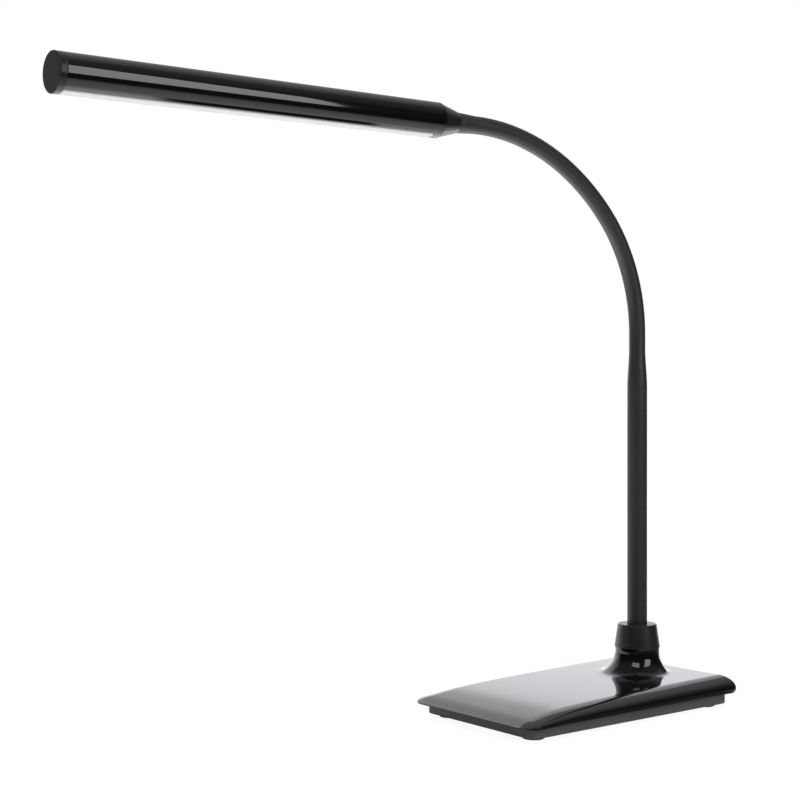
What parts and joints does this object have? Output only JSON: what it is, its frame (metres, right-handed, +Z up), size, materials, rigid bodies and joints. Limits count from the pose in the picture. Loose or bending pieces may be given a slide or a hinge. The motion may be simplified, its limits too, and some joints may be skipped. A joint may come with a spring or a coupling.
{
  "type": "gooseneck desk lamp",
  "caption": "Slim gooseneck desk lamp: a tubular light head on a bendable neck over a weighted, wedge-shaped base with a flared neck foot.",
  "frame": {"origin": "the point on the desk under the axis of the neck", "axes": "+Z up along the neck tube, +X along the base towards its front, over which the head reaches, +Y to the left side when looking from the neck to the front"},
  "size_m": [0.5147, 0.123, 0.4222],
  "materials": {
    "gloss_black": "high gloss black ABS",
    "satin_black": "satin dark grey-black ABS",
    "cap_black": "semi-matt black ABS with a fine moulded surface",
    "sleeve_black": "satin black silicone sleeve",
    "opal": "opal white light diffuser",
    "foot_rubber": "matt black rubber",
    "steel": "zinc-plated steel",
    "iron": "cast iron with a dull finish",
    "aluminium": "extruded aluminium",
    "board_green": "glass-fibre circuit board with green mask",
    "board_white": "aluminium-backed light board with white mask",
    "led_yellow": "phosphor over white package",
    "part_dark": "moulded component packages",
    "foam_grey": "conductive foam",
    "wire_red": "soft wire insulation"
  },
  "bodies": {
    "root": {"rubber_feet": "foot_rubber", "base_tray": "satin_black", "base_cover": "gloss_black", "base_screws": "steel", "ballast_plate": "iron", "ballast_screws": "steel", "neck_flange": "steel", "flange_screws": "steel", "neck_collar": "cap_black", "neck_tube": "steel", "lower_sleeve": "sleeve_black", "lower_conduit": "steel", "lower_wires": "wire_red", "control_board": "board_green", "board_screws": "steel", "board_parts": "part_dark", "touch_post": "foam_grey", "dc_jack": "part_dark", "supply_leads": "wire_red"},
    "link_1": {"link_1_sleeve": "sleeve_black", "link_1_conduit": "steel", "link_1_wires": "wire_red"},
    "link_2": {"link_2_sleeve": "sleeve_black", "link_2_conduit": "steel", "link_2_wires": "wire_red"},
    "link_3": {"link_3_sleeve": "sleeve_black", "link_3_conduit": "steel", "link_3_wires": "wire_red"},
    "link_4": {"link_4_sleeve": "sleeve_black", "link_4_conduit": "steel", "link_4_wires": "wire_red"},
    "link_5": {"link_5_sleeve": "sleeve_black", "link_5_conduit": "steel", "link_5_wires": "wire_red"},
    "link_6": {"link_6_sleeve": "sleeve_black", "link_6_conduit": "steel", "link_6_wires": "wire_red"},
    "link_7": {"link_7_sleeve": "sleeve_black", "link_7_conduit": "steel", "link_7_wires": "wire_red"},
    "link_8": {"link_8_sleeve": "sleeve_black", "link_8_conduit": "steel", "link_8_wires": "wire_red"},
    "head": {"head_sleeve": "sleeve_black", "head_conduit": "steel", "head_ferrule": "steel", "head_nut": "steel", "head_wires": "wire_red", "lead_connector": "board_white", "head_neck_cap": "cap_black", "head_housing": "gloss_black", "diffuser": "opal", "head_end_cap": "cap_black", "heat_sink": "aluminium", "led_board": "board_white", "leds": "led_yellow", "head_screws": "steel"}
  },
  "joints": [
    {"name": "bend_1", "type": "hinge", "parent": "root", "child": "link_1", "pos_m": [0, 0, 0.2732], "axis": [0, 1, 0], "range_deg": [-30, 10]},
    {"name": "side_1", "type": "hinge", "parent": "link_1", "child": "link_2", "pos_m": [0.00397, 0, 0.30442], "axis": [0.9681, 0, -0.2504], "range_deg": [-18, 18]},
    {"name": "bend_2", "type": "hinge", "parent": "link_2", "child": "link_3", "pos_m": [0.01563, 0, 0.33366], "axis": [0, 1, 0], "range_deg": [-30, 10]},
    {"name": "side_2", "type": "hinge", "parent": "link_3", "child": "link_4", "pos_m": [0.03425, 0, 0.35904], "axis": [0.7254, 0, -0.6884], "range_deg": [-18, 18]},
    {"name": "bend_3", "type": "hinge", "parent": "link_4", "child": "link_5", "pos_m": [0.05483, 0, 0.37741], "axis": [0, 1, 0], "range_deg": [-30, 10]},
    {"name": "side_3", "type": "hinge", "parent": "link_5", "child": "link_6", "pos_m": [0.07817, 0, 0.39213], "axis": [0.4601, 0, -0.8878], "range_deg": [-18, 18]},
    {"name": "bend_4", "type": "hinge", "parent": "link_6", "child": "link_7", "pos_m": [0.10363, 0, 0.40278], "axis": [0, 1, 0], "range_deg": [-30, 10]},
    {"name": "side_4", "type": "hinge", "parent": "link_7", "child": "link_8", "pos_m": [0.13049, 0, 0.40909], "axis": [0.1442, 0, -0.9895], "range_deg": [-18, 18]},
    {"name": "bend_5", "type": "hinge", "parent": "link_8", "child": "head", "pos_m": [0.15803, 0, 0.41087], "axis": [0, 1, 0], "range_deg": [-30, 10]}
  ]
}
